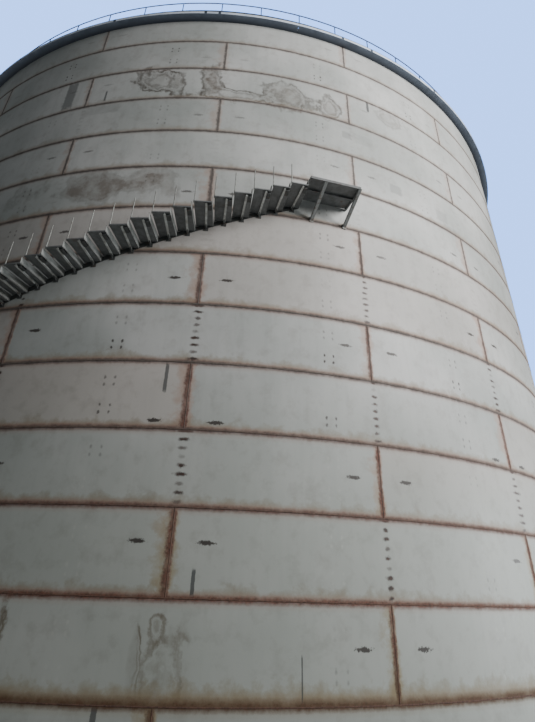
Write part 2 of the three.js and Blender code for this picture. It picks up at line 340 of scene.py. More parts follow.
# Bare strips along the welds, 60 mm to 100 mm wide, with a ragged edge; narrower near the top
above_ragged = node("MULTIPLY_ADD", ragged_metres, 0.7, above_seam)
below_ragged = node("MULTIPLY_ADD", ragged_metres, 0.6, below_seam)
low_spread = node("MapRange", height, 1.6, 3, 1.8, 1)
above_ragged = node("DIVIDE", above_ragged, low_spread)
strip_above = node("MapRange", above_ragged, 0.022, 0.084, 1, 0)
strip_below = node("MapRange", below_ragged, 0.022, 0.088, 1, 0)
strip_level = node("MAXIMUM", strip_above, strip_below)
odd_narrowing = node("MULTIPLY_ADD", odd, 0.3, 1)
narrowing = node("MULTIPLY", node("MapRange", height, 7, 19, 0.88, 1.4), odd_narrowing)
right_widened = node("MULTIPLY", right_of_seam, 1.3)
lopsided = node("MINIMUM", node("MULTIPLY", left_of_seam, 0.8), right_widened)
narrowed = node("MULTIPLY", lopsided, narrowing)
strip_upright = ragged_mark(narrowed, ragged_metres, 1.2, 0.04, 0.086)
strip = node("MAXIMUM", strip_level, strip_upright)
strip_fade = node("MapRange", height, 9, 20, 0.95, 0.85)
strip_patchy = node("MapRange", mottle_fine, 0.32, 0.55, 0.62, 1)
strip_strength = node("MULTIPLY", strip_fade, strip_patchy)
strip_mask = node("MULTIPLY", strip, strip_strength)
crumb_mask = node("MapRange", crumbs, 0.42, 0.62)
low_olive = node("MapRange", height, 1.75, 2.6, 0.7, 0)
rust_crumbly = node("Mix RGBA", crumb_mask, rust_red, rust_dark)
rust_low = node("Mix RGBA", low_olive, rust_crumbly, rust_olive)
upright_greying = node("MapRange", height, 5, 14, 0, 0.95)
level_greying = node("MULTIPLY", node("MapRange", height, 3, 7, 0, 0.85), strip_level)
rust_greying = node("MAXIMUM", upright_greying, level_greying)
rust = node("Mix RGBA", rust_greying, rust_low, rust_grey)

# Bleeding beside the strips: an olive haze over the level welds and a pinkish one under them,
# and a cream halo on the upright ones, broader on their left
bleed_fade = node("MapRange", height, 10, 16, 1, 0.5)
patchy_reach = node("MapRange", mottle_fine, 0.34, 0.68, 0.1, 0.34)
reach_above = node("MULTIPLY", patchy_reach, low_spread)
haze = node("MapRange", node("DIVIDE", above_seam, reach_above), 0.15, 1, 0.75, 0)
line_below = node("MapRange", below_ragged, 0.03, 0.16, 0.42, 0)
line_above = node("MapRange", above_ragged, 0.05, 0.14, 0.45, 0)
line_level = node("MAXIMUM", line_below, line_above)
even_reach = node("MapRange", mottle_fine, 0.35, 0.65, 0.1, 0.46)
halo_reach = node("DIVIDE", even_reach, odd_narrowing)
halo_left = node("MapRange", node("DIVIDE", left_of_seam, halo_reach), 0.35, 1.15, 0.8, 0)
halo_right = node("MapRange", node("DIVIDE", right_of_seam, halo_reach), 0.2, 0.5, 0.8, 0)
halo = node("MAXIMUM", halo_left, halo_right)
halo_colour = node("Mix RGBA", node("MapRange", height, 3.5, 6), bleed_cream, bleed_pink)

# Crumbly dark dashes, 340 by 60 mm, where the plate clamps stood on each side of an upright seam
dash_lift = node("SUBTRACT", above_seam, node("MULTIPLY", dash_height, course_height))
from_seam = node("MINIMUM", right_of_seam, left_of_seam)
dash_place = node("CombineXYZ", node("SUBTRACT", from_seam, 0.66), dash_lift)
dash_scaled = node("VectorMath DIVIDE", dash_place, (0.17, 0.044, 1))
dash_shape = ragged_mark(node("VectorMath LENGTH", dash_scaled), crumbs, 2.6, 2, 2.4, 0.95)
dash_fade = node("MapRange", height, 10, 18, 1, 0.25)

# Ladder rows of scars, 170 mm apart, on the line of the next course's seams
rung_step = 0.172
from_ladder = node("SUBTRACT", right_of_seam, node("MULTIPLY_ADD", odd, 0.2, 4.42))
rung, rung_share = whole_and_part(node("DIVIDE", above_seam, rung_step))
rung_id = node("CombineXYZ", plate, course, rung)
rung_noise = node("TexWhiteNoise", rung_id, noise_dimensions="3D")
rung_lift = node("MULTIPLY_ADD", rung_share, rung_step, -rung_step / 2)
odd_squeeze = node("MapRange", rung_noise, 0, 1, 0.5, 0.2)
rung_squeeze = node("ADD", odd_squeeze, node("MULTIPLY_ADD", odd, -0.2, 0.2))
rung_across = node("MULTIPLY", from_ladder, rung_squeeze)
rung_distance = node("VectorMath LENGTH", node("CombineXYZ", rung_across, rung_lift))
rung_shape = ragged_mark(rung_distance, ragged_metres, 0.9, 0.019, 0.05)
rung_chance = node("MapRange", rung_noise, 0, 0.25, 0.25, 1)
rung_strength = node("MULTIPLY", rung_chance, ladder_amount)

# Groups of four lug marks, dots of 50 by 70 mm, in two columns to a plate
column_share = node("DIVIDE", node("ADD", turn, -odd_seam_turn), seam_step)
column_side = away_from(away_from(node("FRACT", column_share), 0.594), 0.281)
tick_across = node("SUBTRACT", node("MULTIPLY", column_side, plate_length), 0.115)
group_side = away_from(away_from(above_seam, 0.71), 0.31)
tick_up = node("MULTIPLY", node("SUBTRACT", group_side, 0.08), 0.7)
tick_distance = node("VectorMath LENGTH", node("CombineXYZ", tick_across, tick_up))
tick_shape = ragged_mark(tick_distance, ragged_metres, 0.7, 0.012, 0.036)
half_course = node("FLOOR", node("MULTIPLY", courses_up, 2))
half_plate = node("FLOOR", node("MULTIPLY_ADD", column_share, 2, -0.19))
lug_id = node("CombineXYZ", half_plate, half_course)
lug_noise = node("TexWhiteNoise", lug_id, noise_dimensions="2D")
lug_chance = node("MapRange", lug_noise, 0, 1, 0.35, 1.4)
lug_strength = node("MULTIPLY", lug_chance, lug_amount)
lug_paleness = node("MapRange", lug_strength, 0.22, 0.3, 1, 0)

# Dark upright strips where the primer was missed, and grey patches where it was rubbed thin, each
# given by its turn, its height, its half width in degrees, its half height and how dark it is
missed_places = (
    (-4.6, 7.13, 0.17, 0.36, 0.8), (-0.6, 3.25, 0.15, 0.23, 0.85), (7.6, 1.88, 0.06, 0.35, 0.8),
    (18.4, 17.75, 0.22, 0.28, 0.85), (-24.0, 17.3, 0.85, 0.72, 0.6),
    (-18.2, 16.88, 0.14, 0.26, 0.75), (-6.3, 1.36, 0.22, 0.16, 0.8), (14.5, 15.9, 0.7, 0.16, 0.28),
    (21.5, 14.2, 1.0, 0.20, 0.32), (29.8, 14.0, 1.2, 0.24, 0.2), (31.5, 13.6, 1.4, 0.16, 0.18),
    (-18.0, 16.2, 2.4, 0.20, 0.15), (17.0, 15.9, 1.6, 0.24, 0.12),
)
surface_place = node("CombineXYZ", turn, height)


def from_middle_of(patch_turn, patch_height, half_turn, half_height):
    """Where a point lies from the middle of a patch, in the patch's half sizes."""
    offset = node("VectorMath SUBTRACT", surface_place, (patch_turn, patch_height, 0))
    return node("VectorMath DIVIDE", offset, (half_turn, half_height, 1))


missed_mask = 0.0
for *patch, darkness in missed_places:
    sides = node("SeparateXYZ", node("VectorMath ABSOLUTE", from_middle_of(*patch)))
    edge = node("MAXIMUM", sides.node.outputs["X"], sides.node.outputs["Y"])
    mask = ragged_mark(edge, ragged, 0.8, 1.2, 1.45, darkness)
    missed_mask = node("MAXIMUM", missed_mask, mask)

# Water stains and rubbed patches, each given by its turn, its height, its half sizes and how much
# of it is filled and is lined. Tide marks wander along their edges.
stain_places = (
    (-15.0, 12.85, 9.0, 0.52, 0.8, 0.3), (-10.5, 17.3, 3.0, 0.60, 0.35, 1.0),
    (-3.8, 17.4, 1.6, 0.60, 1.0, 0.8), (0.0, 16.75, 5.0, 0.28, 0.1, 1.0),
    (5.8, 17.1, 3.6, 0.55, 0.55, 0.7), (12.2, 17.1, 1.3, 0.50, 0.5, 0.8),
    (22.5, 17.6, 2.2, 0.40, 0.35, 0.4), (-2.95, 2.62, 0.7, 0.27, 0.0, 0.7),
    (-2.1, 2.02, 1.2, 0.36, 0.0, 0.55), (-4.2, 2.25, 0.4, 0.60, 0.3, 0.0),
    (-14.0, 2.55, 0.6, 0.45, 0.35, 0.8),
)
far_away = 1000.0
stain_fill, stain_line, stain_distance = 0.0, 0.0, far_away
for *patch, fill_share, line_share in stain_places:
    distance = node("VectorMath LENGTH", from_middle_of(*patch))
    filled = node("MapRange", distance, 1, 1.3, fill_share, 0)
    lined = node("MapRange", distance, 1.6, 1.9, line_share, 0)
    stain_distance = node("MINIMUM", stain_distance, distance)
    stain_fill = node("MAXIMUM", stain_fill, filled)
    stain_line = node("MAXIMUM", stain_line, lined)
stain_warp = node("TexNoise", place, 0.9, 6, 0.6)
stain_edge = node("MULTIPLY_ADD", stain_warp, 4.2, stain_distance)
stain_area = node("MapRange", stain_edge, 2.5, 3.1, 0.85, 0)
stain_patches = node("MapRange", mottle_fine, 0.36, 0.6, 0.4, 1)
stain_cloud = node("MULTIPLY", stain_area, stain_patches)
tide_shape = 0.0
for tide_level, tide_strength in ((3.0, 1.0), (2.5, 0.55)):
    tide_near = away_from(stain_edge, tide_level)
    tide_line = node("MapRange", tide_near, 0.04, 0.25, tide_strength, 0)
    tide_shape = node("MAXIMUM", tide_shape, tide_line)
tide_worn = node("MULTIPLY", tide_shape, node("MapRange", streaks, 0.35, 0.6, 0.5, 1))

# Colour, laid from the primer upwards
clouds = node("MapRange", mottle_broad, 0.35, 0.65)
pink_chance = node("MapRange", node("SeparateColor", plate_tint, output="Green"), 0.3, 1, 0, 0.5)
pink_zone = node("MapRange", away_from(height, 8.8), 3, 4.6, 1, 0)
layers = (
    (node("MapRange", streaks, 0.48, 0.72, 0, 0.16), primer_grey),
    (node("MapRange", plate_noise, 0, 1, 0, 0.22), primer_grey),
    (node("MULTIPLY", pink_chance, pink_zone), primer_pink),
    # Painted shade: the primer darker and cooler towards the bottom, gone by 8 m
    (node("MapRange", height, 4, 8, 0.55, 0), low_painted_shade),
    (node("MapRange", mottle_fine, 0.5, 0.8, 0, 0.3), stain_brown),
    (node("MULTIPLY", stain_cloud, stain_fill), stain_brown),
    (node("MULTIPLY", tide_worn, stain_line),
     node("Mix RGBA", upright_greying, tide_brown, tide_grey)),
    (node("MULTIPLY", halo, bleed_fade), halo_colour),
    (node("MULTIPLY", haze, bleed_fade), node("Mix RGBA", low_olive, bleed_olive, bleed_khaki)),
    (node("MULTIPLY", line_level, bleed_fade),
     node("Mix RGBA", low_olive, bleed_orange, bleed_khaki)),
    (missed_mask, strip_slate),
    (node("MULTIPLY", dash_shape, dash_fade), scar_dark),
    (node("MULTIPLY", rung_shape, rung_strength),
     node("Mix RGBA", crumb_mask, scar_dark, rust_dark)),
    (node("MULTIPLY", tick_shape, lug_strength, use_clamp=True),
     node("Mix RGBA", lug_paleness, scar_dark, lug_pale)),
    (strip_mask, rust),
)
colour = node("Mix RGBA", clouds, primer_light, primer_dark)
for mask, over in layers:
    colour = node("Mix RGBA", mask, colour, over)

# Dull primer with a rougher bare strip, and the slight waves of rolled plate. The grain stands for
# blast grit of 1 mm, drawn as coarse as 22 mm, because it is too fine to show.
roughness = node("MapRange", strip_mask, 0, 1, 0.55, 0.85)
grain = node("TexNoise", place, 45, 3)
grain_bump = node("Bump", Height=grain, Strength=0.25, Distance=0.004)
strip_bump = node("Bump", Height=strip, Strength=0.5, Distance=0.006, Normal=grain_bump)
finish(colour, roughness, mottle_broad, 0.6, 0.05, Normal=strip_bump)

for number in range(course_count):
    bottom = max(number * course_height, bottom_thickness)
    top = (number + 1) * course_height
    course_ring = add_round(
        f"shell_plates_{number + 1:02d}", shell_sides, shell_radius, bottom, top, ends="NOTHING",
    )
    pick("EDGE", is_upright)
    bpy.ops.mesh.subdivide(number_cuts=5)
    pick("VERT", lambda middle, vertex: min(middle.z - bottom, top - middle.z) < 0.01)
    shrink = 1 - weld_shrinkage / shell_radius
    bpy.ops.transform.resize(value=(shrink, shrink, 1))
    thinning = (lowest_thickness - highest_thickness) * number / (course_count - 1)
    modify(course_ring, "SOLIDIFY", thickness=lowest_thickness - thinning, offset=-1)
    dress(course_ring, shell_paint, "shell_plate", f"shell_course_{number + 1:02d}")

# Welds between the plates. One level bead joins each course to the next, and upright beads join
# its plates. They were laid by hand with stick electrodes, so they are a little uneven.
bead_radius = 0.011
bead_middle = shell_radius - 0.005
bead_gap = 0.015
bead_sides = 6
level_bead_stretch = 1.2
bead_unevenness = 0.002


def patchy(scale, detail, raggedness, low, high, ground, patch):
    """Lay patches of one colour on another. Gives their noise, their mask and the colour."""
    noise = node("TexNoise", place, scale, detail, raggedness)
    mask = node("MapRange", noise, low, high)
    return noise, mask, node("Mix RGBA", mask, ground, patch)


# Rusted weld metal is rough and has no shine. It shows as a crumbly line, red-brown near the ground
# and greyer with height. Its ripples, 2 mm apart, are too fine to show and are drawn 8 mm apart.
weld_metal = begin_material("rusted_weld_metal")
_, speckle_mask, rusty = patchy(14, 5, 0.7, 0.35, 0.65, "#523f37", "#785a4d")
greyed = node("Mix RGBA", speckle_mask, "#544c47", "#716c68")
weld_greying = node("MapRange", node("SeparateXYZ", place, output="Z"), 3, 8.5, 0, 0.95)
ripple = node("TexNoise", place, 120, 2)
finish(node("Mix RGBA", weld_greying, rusty, greyed), 0.85, ripple, 0.6, 0.003)


def place_copy(model, name, turn=0.0, lift=0.0):
    """Copy a piece with its own mesh, turned round the tank axis and lifted."""
    only(model)
    bpy.ops.object.duplicate(linked=False)
    made = named(name)
    made.rotation_euler.z = math.radians(turn)
    made.location.z = lift
    settle()
    return made


def join(pieces, name):
    """Join pieces into one object with a new name."""
    only(*pieces)
    bpy.ops.object.join()
    return named(name)


def drop(*models):
    """Take away models that were only there to be copied."""
    only(*models)
    bpy.ops.object.delete()


def pick_all():
    """In edit mode, select everything."""
    bpy.ops.mesh.select_all(action="SELECT")


only()
bpy.ops.mesh.primitive_torus_add(
    major_radius=bead_middle, minor_radius=bead_radius,
    major_segments=shell_sides, minor_segments=bead_sides,
)
level_bead = begin("level_bead")
pick_all()
bpy.ops.transform.resize(value=(1, 1, level_bead_stretch))
bpy.ops.transform.vertex_random(offset=bead_unevenness, seed=3)

bead_top = course_height - bead_gap
upright_bead = add_round(
    "upright_bead", bead_sides, bead_radius, bead_gap, bead_top, bead_middle,
)
pick("EDGE", is_upright)
bpy.ops.mesh.subdivide(number_cuts=11)
pick_all()
bpy.ops.transform.vertex_random(offset=bead_unevenness, seed=5)

for number in range(course_count):
    bottom = number * course_height
    seams = [seam_turn(number) + count * seam_step for count in range(plates_per_course)]
    beads = [place_copy(upright_bead, "bead", turn, bottom) for turn in seams]
    if number > 0:
        beads.append(place_copy(level_bead, "bead", 0, bottom))
    dress(join(beads, f"plate_welds_{number + 1:02d}"), weld_metal, "shell_plate")
drop(level_bead, upright_bead)

# Bottom plate. Flat plate 10 mm thick on the foundation, which stands 60 mm out from the shell,
# with a fillet weld in the corner between the two. It is dull primer, rusting from its cut edge.
bottom_projection = 0.060
fillet_leg = 0.014
fillet_thickness = 0.004

# Two primers side by side, dull and blotched with rust in patches of about 250 mm.
base_primer = begin_material("rusting_red_oxide_and_grey_primer")
blotch, blotch_mask, base_colour = patchy(4, 6, 0.65, 0.4, 0.62, "#6e716c", "#6a4a3a")
finish(base_colour, node("MapRange", blotch_mask, 0, 1, 0.6, 0.9), blotch, 0.4, 0.004)

bottom_radius = shell_radius + bottom_projection
bottom_disc = add_round(
    "bottom_disc", shell_sides, bottom_radius, 0, bottom_thickness, ends="TRIFAN",
)
pick("EDGE", lambda middle, edge: len(edge.link_faces) == 2 and edge.calc_face_angle() > 1)
bpy.ops.mesh.bevel(offset=0.002, segments=2)
only()
bpy.ops.mesh.primitive_cone_add(
    vertices=shell_sides, radius1=shell_radius + fillet_leg, radius2=shell_radius,
    depth=fillet_leg, end_fill_type="NOTHING",
    location=(0, 0, bottom_thickness + fillet_leg / 2),
)
corner_weld = begin("corner_weld")
modify(corner_weld, "SOLIDIFY", thickness=fillet_thickness, offset=-1)
bottom = join([bottom_disc, corner_weld], "bottom_and_corner_weld")
dress(bottom, base_primer, "bottom_plate", "bottom_plate")

# Roof. A shallow cone of 6 mm plate, laid in rings from the edge up, each ring lapped over the
# one below and welded along the lap. It has a flat edge on the shell's top and weathered paint.
roof_thickness = 0.006
roof_edge_width = 0.10
roof_slope = 1 / 16
shell_top = course_count * course_height
ring_count = 8
sheet_count = 24
lap_step = 0.003
lap_slant = 0.004
crown_radius = 0.9
crown_hole = 0.2
roof_sides = 240

# Pale paint gone chalky, so that it is dull. Dirt has settled on it in clouds of 1.5 m or so, and
# the welds between the sheets show as thin rusty lines that run to the middle.
roof_paint = begin_material("weathered_pale_paint_on_roof_plate")
east, north, _ = node("SeparateXYZ", place).node.outputs
roof_turn = node("ARCTAN2", north, east)
sheets_round = node("MULTIPLY", roof_turn, sheet_count / (2 * math.pi))
seam_distance = away_from(node("FRACT", sheets_round), 0.5)
sheet_seam = node("MapRange", seam_distance, 0.006, 0.02, 0.7, 0)
cloud, _, roof_colour = patchy(0.6, 6, 0.6, 0.38, 0.66, "#b9bbb4", "#8f918b")
finish(node("Mix RGBA", sheet_seam, roof_colour, "#7c6558"), 0.7, cloud, 0.5, 0.03)

only()
bpy.ops.mesh.primitive_circle_add(
    vertices=roof_sides, radius=shell_radius, location=(0, 0, shell_top + roof_thickness),
)
roof = begin("roof_plates")
pick_all()


def extrude_ring(from_radius, to_radius, rise):
    """Extrude the selected ring of edges to a new radius and height."""
    bpy.ops.mesh.extrude_edges_move()
    share = to_radius / from_radius
    bpy.ops.transform.resize(value=(share, share, 1))
    bpy.ops.transform.translate(value=(0, 0, rise))


def face_outwards():
    """In edit mode, turn all the faces of a closed shape outwards."""
    pick_all()
    bpy.ops.mesh.normals_make_consistent(inside=False)


def pick_facing(*way):
    """In edit mode, select just the faces that face one way."""
    pick("FACE", lambda middle, face: face.normal.dot(Vector(way)) > 0.9)


cone_radius = shell_radius - roof_edge_width
extrude_ring(shell_radius, cone_radius, 0)
ring_width = (cone_radius - crown_radius) / ring_count
radius = cone_radius
for ring in range(ring_count):
    inner = radius - ring_width
    extrude_ring(radius, inner, ring_width * roof_slope - lap_step)
    extrude_ring(inner, inner - lap_slant, lap_step)
    radius = inner - lap_slant
extrude_ring(radius, crown_hole, (radius - crown_hole) * roof_slope)
bpy.ops.mesh.extrude_edges_move()
bpy.ops.mesh.merge(type="CENTER")
face_outwards()
pick_facing(0, 0, -1)
bpy.ops.mesh.flip_normals()
modify(roof, "SOLIDIFY", thickness=roof_thickness, offset=-1)
dress(roof, roof_paint, "roof_plate", "roof_deck", smooth_angle=15)

# Rim girder. An angle of rolled plate, welded on 300 mm under the shell's top to keep it round.
# Its broad leg stands out flat, and it is fixed in four lengths with a narrow joint at each end.
rim_underside = 20.70
rim_projection = 0.32
rim_plate = 0.010
rim_leg = 0.15
rim_arc_count = 4
rim_arc = 360 / rim_arc_count
rim_start_turn = 7.6
rim_weld_gap = 0.001
joint_half_gap = 0.003
rim_sides = 384

# Thin paint with a slight sheen. Seen from below, the flat leg carries painted shade: slate near
# the shell and paler towards its edge. Grime lies on it in patches of about 450 mm.
rim_paint = begin_material("blue_grey_paint_on_rolled_angle")
east, north, _ = node("SeparateXYZ", place).node.outputs
reach_out = node("VectorMath LENGTH", node("CombineXYZ", east, north))
painted_shade_fade = node("MapRange", reach_out, shell_radius + 0.05, shell_radius + rim_projection)
grime = node("TexNoise", place, 2.2, 6, 0.6)
grime_mask = node("MapRange", grime, 0.38, 0.68, 0, 0.6)
# Painted shade: dark slate at the shell, paler towards the leg's outer edge
rim_colour = node("Mix RGBA", painted_shade_fade, "#3c4350", "#8794a8")
rim_colour = node("Mix RGBA", grime_mask, rim_colour, "#525a68")
finish(rim_colour, node("MapRange", grime, 0, 1, 0.45, 0.75), grime, 0.3, 0.01)


def cut_beyond(turn, keep):
    """In edit mode, cut a ring at a turn, and keep the side after it (1) or before it (-1)."""
    along = Vector((math.cos(math.radians(turn)), math.sin(math.radians(turn)), 0))
    pick_all()
    cut_place = along * keep * joint_half_gap
    bpy.ops.mesh.bisect(plane_co=cut_place, plane_no=along * keep, clear_inner=True)


def ring_arc(ring, name, start, end):
    """Copy a ring and keep the part between two turns, at most half of it."""
    made = place_copy(ring, name)
    bpy.ops.object.mode_set(mode="EDIT")
    cut_beyond(start, 1)
    cut_beyond(end, -1)
    bpy.ops.object.mode_set(mode="OBJECT")
    return made


rim_top = rim_underside + rim_leg
rim_ring = add_round(
    "rim_ring", rim_sides, shell_radius + rim_weld_gap, rim_underside, rim_top, ends="NOTHING",
)
pick("EDGE", lambda middle, edge: middle.z < rim_underside + 0.01)
extrude_ring(shell_radius, shell_radius + rim_projection, 0)
for arc in range(rim_arc_count):
    start = rim_start_turn + arc * rim_arc
    rim_length = ring_arc(rim_ring, f"rim_angle_{arc + 1}", start, start + rim_arc)
    modify(rim_length, "SOLIDIFY", thickness=rim_plate, offset=1, use_even_offset=True)
    modify(rim_length, "BEVEL", width=0.002, segments=1, limit_method="ANGLE")
    dress(rim_length, rim_paint, "rim_steel", f"rim_girder_{arc + 1}")
drop(rim_ring)

# Toe plate. A pale strip of 8 mm flat bar on edge, which stands on the rim girder's outer edge.
# It was fixed in uneven lengths, and a short dark plate covers each joint between them.
toe_height = 0.145
toe_thickness = 0.008
toe_inset = 0.004
toe_gap = 0.0005
toe_bottom = rim_underside + rim_plate + toe_gap
toe_top = toe_bottom + toe_height
toe_reach = rim_projection - toe_inset
dark_edge = 0.0335
dark_edge_blur = 0.006
cover_half_width = 0.045
cover_thickness = 0.006
cover_inset = 0.002
toe_joint_turns = (
    (6.9, 11.9, 25.4, 44.4, 63.4, 76.4),
    (9.0, 21.0, 40.0, 58.0, 77.0),
    (12.0, 30.0, 47.0, 66.0, 81.0),
    (8.0, 27.0, 45.0, 63.0, 76.5, 78.5),
)

# Pale paint, a little glossy, that drifts between white and light blue over 300 mm or so. The top
# 30 mm is coloured dark, and reads as a thin line along the strip.
toe_paint = begin_material("pale_paint_on_flat_bar")
drift, _, toe_colour = patchy(3, 5, 0.6, 0.42, 0.7, "#e9f2ff", "#c2d0e4")
height = node("SeparateXYZ", place, output="Z")
dark_from = toe_top - dark_edge
edge_mask = node("MapRange", height, dark_from, dark_from + dark_edge_blur, 0, 0.85)
finish(node("Mix RGBA", edge_mask, toe_colour, "#46505c"), 0.5, drift, 0.25, 0.01)

toe_ring = add_round(
    "toe_ring", rim_sides, shell_radius + toe_reach, toe_bottom, toe_top, ends="NOTHING",
)
for arc in range(rim_arc_count):
    start = rim_start_turn + arc * rim_arc
    ends = [start] + [start + turn for turn in toe_joint_turns[arc]] + [start + rim_arc]
    lengths = [ring_arc(toe_ring, "toe_length", first, last) for first, last in zip(ends, ends[1:])]
    toe_strip = join(lengths, f"toe_strip_{arc + 1}")
    modify(toe_strip, "SOLIDIFY", thickness=toe_thickness, offset=-1)
    modify(toe_strip, "BEVEL", width=0.0015, segments=1, limit_method="ANGLE")
    dress(toe_strip, toe_paint, "toe_plate", f"rim_toe_plate_{arc + 1}")
drop(toe_ring)

# Slate paint, scuffed where the covers were handled, which makes dark ticks along the pale strip.
cover_paint = begin_material("slate_paint_on_cover_plate")
_, _, cover_colour = patchy(16, 5, 0.5, 0.4, 0.7, "#4c5763", "#343b43")
finish(cover_colour, 0.6)


def add_block(name, x_span, reach_span, z_span):
    """Add a cube between two sides, two reaches out from the shell and two heights."""
    only()
    middle = (sum(x_span) / 2, -shell_radius - sum(reach_span) / 2, sum(z_span) / 2)
    size = (x_span[1] - x_span[0], reach_span[1] - reach_span[0], z_span[1] - z_span[0])
    bpy.ops.mesh.primitive_cube_add(size=1, location=middle, scale=size)
    return begin(name)


def bevel_all(width):
    """Break every edge of the piece in edit mode."""
    pick_all()
    bpy.ops.mesh.bevel(offset=width, segments=1)


cover_sides = (-cover_half_width, cover_half_width)
cover_reach = (toe_reach, toe_reach + cover_thickness)
cover_heights = (toe_bottom + cover_inset, toe_top - cover_inset)
cover = add_block("cover", cover_sides, cover_reach, cover_heights)
bevel_all(0.002)
cover_turns = [
    rim_start_turn + arc * rim_arc + turn
    for arc, joint_turns in enumerate(toe_joint_turns) for turn in joint_turns
]
covers = join([place_copy(cover, "cover", turn) for turn in cover_turns], "toe_joint_covers")
dress(covers, cover_paint, "toe_plate")
drop(cover)

# Roof handrail. Two rails of 44 mm pipe on pipe posts, one post every 6 degrees, each post on a
# bolted foot on the roof's flat edge. The pipe has thin grey paint.
rail_arc_count = 10
rail_arc = 360 / rail_arc_count
rail_start_turn = -0.9
bays_per_arc = 6
rail_setback = 0.07
rail_heights = (1.0, 0.5)
pipe_sides = 10
steps_per_arc = 18
rail_pipe_radius = 0.022
post_pipe_radius = 0.019
post_foot_half_length = 0.065
post_foot_half_width = 0.05
post_foot_lifts = (0.001, 0.009)
bolt_sides = 6
bolt_radius = 0.011
bolt_offset = 0.048
bolt_lifts = (0.008, 0.022)

# Thin old paint, neither glossy nor chalky. Against the sky the pipes read as fine dark lines.
rail_paint = begin_material("dull_grey_paint_on_pipe")
wear, _, rail_colour = patchy(12, 5, 0.65, 0.45, 0.7, "#565450", "#3f3e3b")
finish(rail_colour, 0.45, wear, 0.3, 0.002)

roof_edge = shell_top + roof_thickness
rail_radius = shell_radius - rail_setback
parts = []
for rail_height in rail_heights:
    only()
    bpy.ops.mesh.primitive_circle_add(
        vertices=pipe_sides, radius=rail_pipe_radius, fill_type="NGON",
        location=(0, -rail_radius, roof_edge + rail_height), rotation=(0, math.pi / 2, 0),
    )
    parts.append(begin("rail"))
    pick_all()
    bpy.ops.mesh.spin(
        steps=steps_per_arc, angle=math.radians(rail_arc), center=(0, 0, 0), axis=(0, 0, 1),
    )
    face_outwards()
post_top = roof_edge + rail_heights[0]
post_pipe = add_round(
    "post_pipe", pipe_sides, post_pipe_radius, roof_edge, post_top, rail_radius,
)
pick("EDGE", lambda middle, edge: middle.z > post_top - 0.001)
bpy.ops.mesh.bevel(offset=0.006, segments=2)
foot_sides = (-post_foot_half_length, post_foot_half_length)
foot_reach = (-rail_setback - post_foot_half_width, -rail_setback + post_foot_half_width)
foot_heights = [roof_edge + lift for lift in post_foot_lifts]
post_foot = add_block("post_foot", foot_sides, foot_reach, foot_heights)
bevel_all(0.002)
bolt_low, bolt_high = [roof_edge + lift for lift in bolt_lifts]
foot_bolt = add_round(
    "foot_bolt", bolt_sides, bolt_radius, bolt_low, bolt_high, rail_radius, bolt_offset,
)
pick("EDGE", lambda middle, edge: middle.z > bolt_high - 0.001)
bpy.ops.mesh.bevel(offset=0.003, segments=1)
other_bolt = place_copy(foot_bolt, "other_bolt")
other_bolt.location.x = -2 * bolt_offset
settle()
post = join([post_pipe, post_foot, foot_bolt, other_bolt], "post")
for bay in range(bays_per_arc):
    parts.append(place_copy(post, "post", (bay + 0.5) * rail_arc / bays_per_arc))
handrail = join(parts, "handrail")
for arc in range(rail_arc_count):
    rail_length = place_copy(handrail, f"roof_rail_{arc + 1}", rail_start_turn + arc * rail_arc)
    dress(rail_length, rail_paint, "handrail", f"roof_handrail_{arc + 1}")
drop(post, handrail)

# Stair treads. 64 pans of plate, folded down all round and welded to the shell by their inner
# ends. They are in dusty dark primer that is rusting in places.
stair_rise = 0.193
tread_step = 1.875
treads_per_flight = 8
flight_count = 8
stair_end_turn = 7.6
stair_width = 1.05
tread_depth = 0.455
tread_thickness = 0.030
plate_gauge = 0.006
lip_depth = 0.010
fold_radius = 0.008
weld_in = 0.003

# Dark primer that is matt from dust, greyer on top where the dust lies, and brown in clouds of
# about 500 mm where rust has come through. Its mottle of 170 mm shows on the undersides.
tread_paint = begin_material("dusty_dark_primer_on_folded_plate")
mottle, _, tread_colour = patchy(6, 6, 0.65, 0.35, 0.68, "#7f8283", "#696b6c")
rust_mask = node("MapRange", node("TexNoise", place, 2.1, 7, 0.7), 0.60, 0.72, 0, 0.7)
tread_colour = node("Mix RGBA", rust_mask, tread_colour, "#6b4a3c")
up_share = node("SeparateXYZ", node("NewGeometry", output="Normal"), output="Z")
dust_mask = node("MapRange", up_share, 0.6, 1, 0, 0.55)
tread_colour = node("Mix RGBA", dust_mask, tread_colour, "#9a958a")
finish(tread_colour, node("MapRange", mottle, 0, 1, 0.5, 0.8), mottle, 0.3, 0.004)


def extrude_by(*offset):
    """Extrude the selected faces by an offset in metres."""
    bpy.ops.mesh.extrude_region_move(TRANSFORM_OT_translate={"value": offset})


half_depth = tread_depth / 2
pan = add_block("pan", (-half_depth, half_depth), (-weld_in, stair_width), (-tread_thickness, 0))
pick_facing(0, 0, -1)
bpy.ops.mesh.inset(thickness=plate_gauge)
extrude_by(0, 0, lip_depth)
pick("EDGE", lambda middle, edge: abs(middle.x) > half_depth - 0.001 and abs(middle.z) < 0.001)
bpy.ops.mesh.bevel(offset=fold_radius, segments=2)


def tread_place(number):
    """The turn of a tread's middle and the height of its top, counted from 1 at the ground."""
    treads_left = flight_count * treads_per_flight - number
    return stair_end_turn - (treads_left + 0.5) * tread_step, number * stair_rise


def place_on_stair(model, name, flight):
    """Copy a model to each of the treads in a flight, as one piece."""
    first = (flight - 1) * treads_per_flight + 1
    places = [tread_place(number) for number in range(first, first + treads_per_flight)]
    return join([place_copy(model, "copy", turn, height) for turn, height in places], name)


def repeat_up_stair(model, name, material, stands_for=None):
    """Make a piece of each flight's copies of a model, which may stand for the flight's node."""
    for flight in range(1, flight_count + 1):
        nodes = [f"{stands_for}_{flight}"] if stands_for else []
        dress(place_on_stair(model, f"{name}_{flight}", flight), material, "stair_steel", *nodes)
    drop(model)


repeat_up_stair(pan, "stair_treads", tread_paint, "stair_flight")

